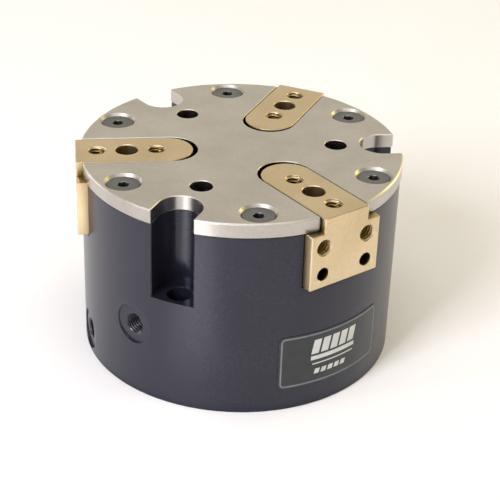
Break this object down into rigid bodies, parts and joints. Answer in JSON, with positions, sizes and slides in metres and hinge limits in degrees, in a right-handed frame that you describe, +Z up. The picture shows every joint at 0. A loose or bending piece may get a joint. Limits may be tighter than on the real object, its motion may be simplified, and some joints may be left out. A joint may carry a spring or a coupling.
{
  "type": "pneumatic gripper",
  "caption": "Round pneumatic concentric gripper: a piston and wedge hook in a black housing slide the jaws in or out together under a steel cover plate.",
  "frame": {"origin": "centre of the bottom mounting face", "axes": "+Z up the gripper's axis towards the cover plate and jaws; jaw 1 points along -Y, above the nameplate"},
  "size_m": [0.116, 0.1153, 0.0745],
  "materials": {
    "housing": "black hard-anodised, fine turned satin",
    "cover": "fine ground, warm grey satin",
    "jaw_coating": "pale gold hard coating, fine ground satin",
    "oxide_screw": "black oxide",
    "hard_steel": "ground",
    "spring_steel": "phosphated",
    "alloy": "turned, clear anodised",
    "bronze": "bearing bronze",
    "seal_rubber": "moulded nitrile, matt",
    "nameplate": "satin printed foil with a pale outline"
  },
  "bodies": {
    "housing": {"housing": "housing", "cover_plate": "cover", "cover_screw_1": "oxide_screw", "cover_screw_2": "oxide_screw", "cover_screw_3": "oxide_screw", "cover_screw_4": "oxide_screw", "cover_screw_5": "oxide_screw", "cover_screw_6": "oxide_screw", "cover_dowel_1": "hard_steel", "cover_dowel_2": "hard_steel", "end_cap": "alloy", "end_cap_o_ring": "seal_rubber", "retaining_ring": "spring_steel", "rod_bushing": "bronze", "rod_seal": "seal_rubber", "nameplate": "nameplate"},
    "drive": {"piston": "alloy", "piston_seal": "seal_rubber", "piston_guide_ring": "bronze", "wedge_rod": "hard_steel", "rod_o_ring": "seal_rubber", "piston_screw": "oxide_screw"},
    "jaw_1": {"jaw_1": "jaw_coating"},
    "jaw_2": {"jaw_2": "jaw_coating"},
    "jaw_3": {"jaw_3": "jaw_coating"}
  },
  "joints": [
    {"name": "piston_slide", "type": "slide", "parent": "housing", "child": "drive", "axis": [0, 0, 1], "range_m": [0, 0.01108]},
    {"name": "jaw_1_slide", "type": "slide", "parent": "housing", "child": "jaw_1", "axis": [0, -1, 0], "range_m": [0, 0.0064]},
    {"name": "jaw_2_slide", "type": "slide", "parent": "housing", "child": "jaw_2", "axis": [0.866, 0.5, 0], "range_m": [0, 0.0064]},
    {"name": "jaw_3_slide", "type": "slide", "parent": "housing", "child": "jaw_3", "axis": [-0.866, 0.5, 0], "range_m": [0, 0.0064]}
  ],
  "couplings": [
    {"joint": "jaw_1_slide", "follows": "piston_slide", "ratio": 0.57735},
    {"joint": "jaw_2_slide", "follows": "piston_slide", "ratio": 0.57735},
    {"joint": "jaw_3_slide", "follows": "piston_slide", "ratio": 0.57735}
  ]
}
